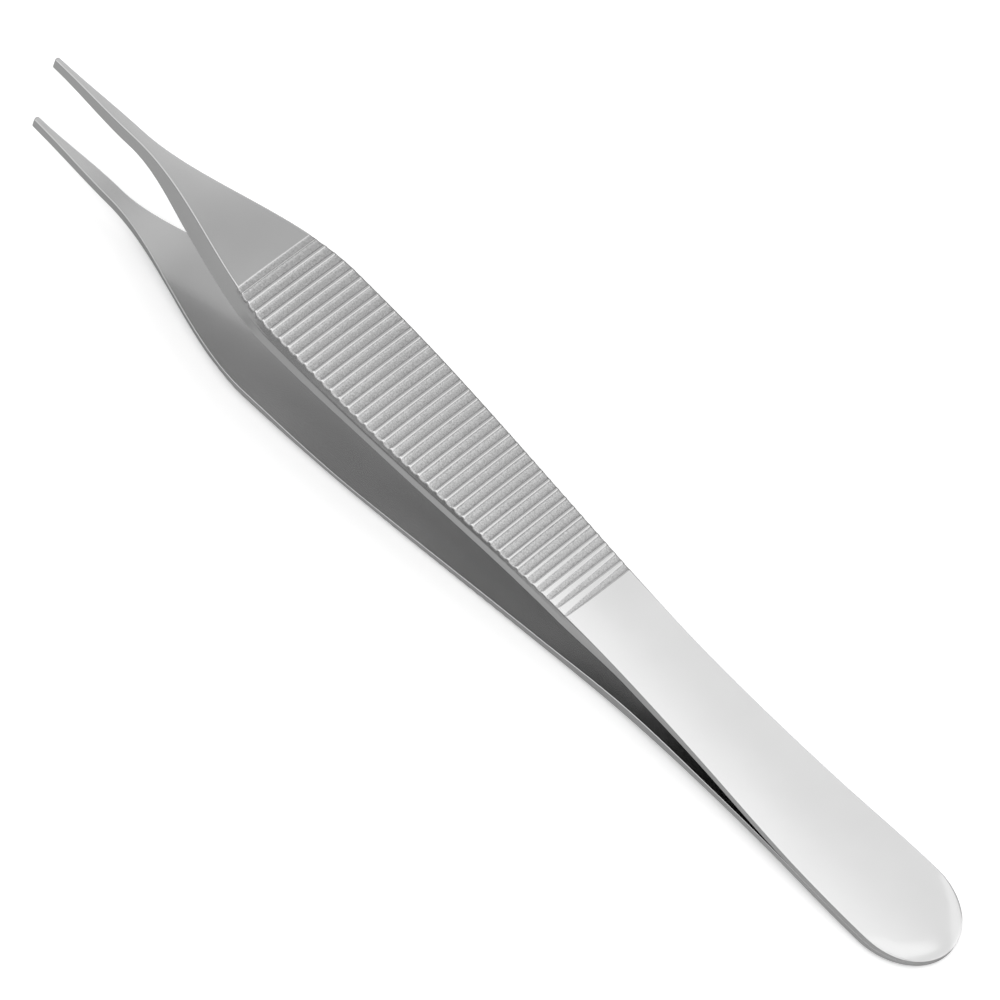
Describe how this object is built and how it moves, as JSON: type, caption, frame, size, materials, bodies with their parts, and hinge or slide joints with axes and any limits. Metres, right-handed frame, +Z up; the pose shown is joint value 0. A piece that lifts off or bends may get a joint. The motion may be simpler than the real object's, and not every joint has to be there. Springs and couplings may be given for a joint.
{
  "type": "thumb forceps",
  "caption": "Slender sprung forceps lying on one arm: fine plain tips, flared shoulders, cross-ribbed finger grips and a flat rounded heel where the arms are welded together.",
  "frame": {"origin": "centre of the forceps' footprint on the surface it lies on", "axes": "+X along the forceps from the tips to the heel, +Y across its width, +Z up from the lower arm to the upper arm"},
  "size_m": [0.1202, 0.013, 0.0138],
  "materials": {
    "satin_steel": "satin"
  },
  "bodies": {
    "root": {"upper_arm": "satin_steel", "lower_arm": "satin_steel"}
  },
  "joints": []
}
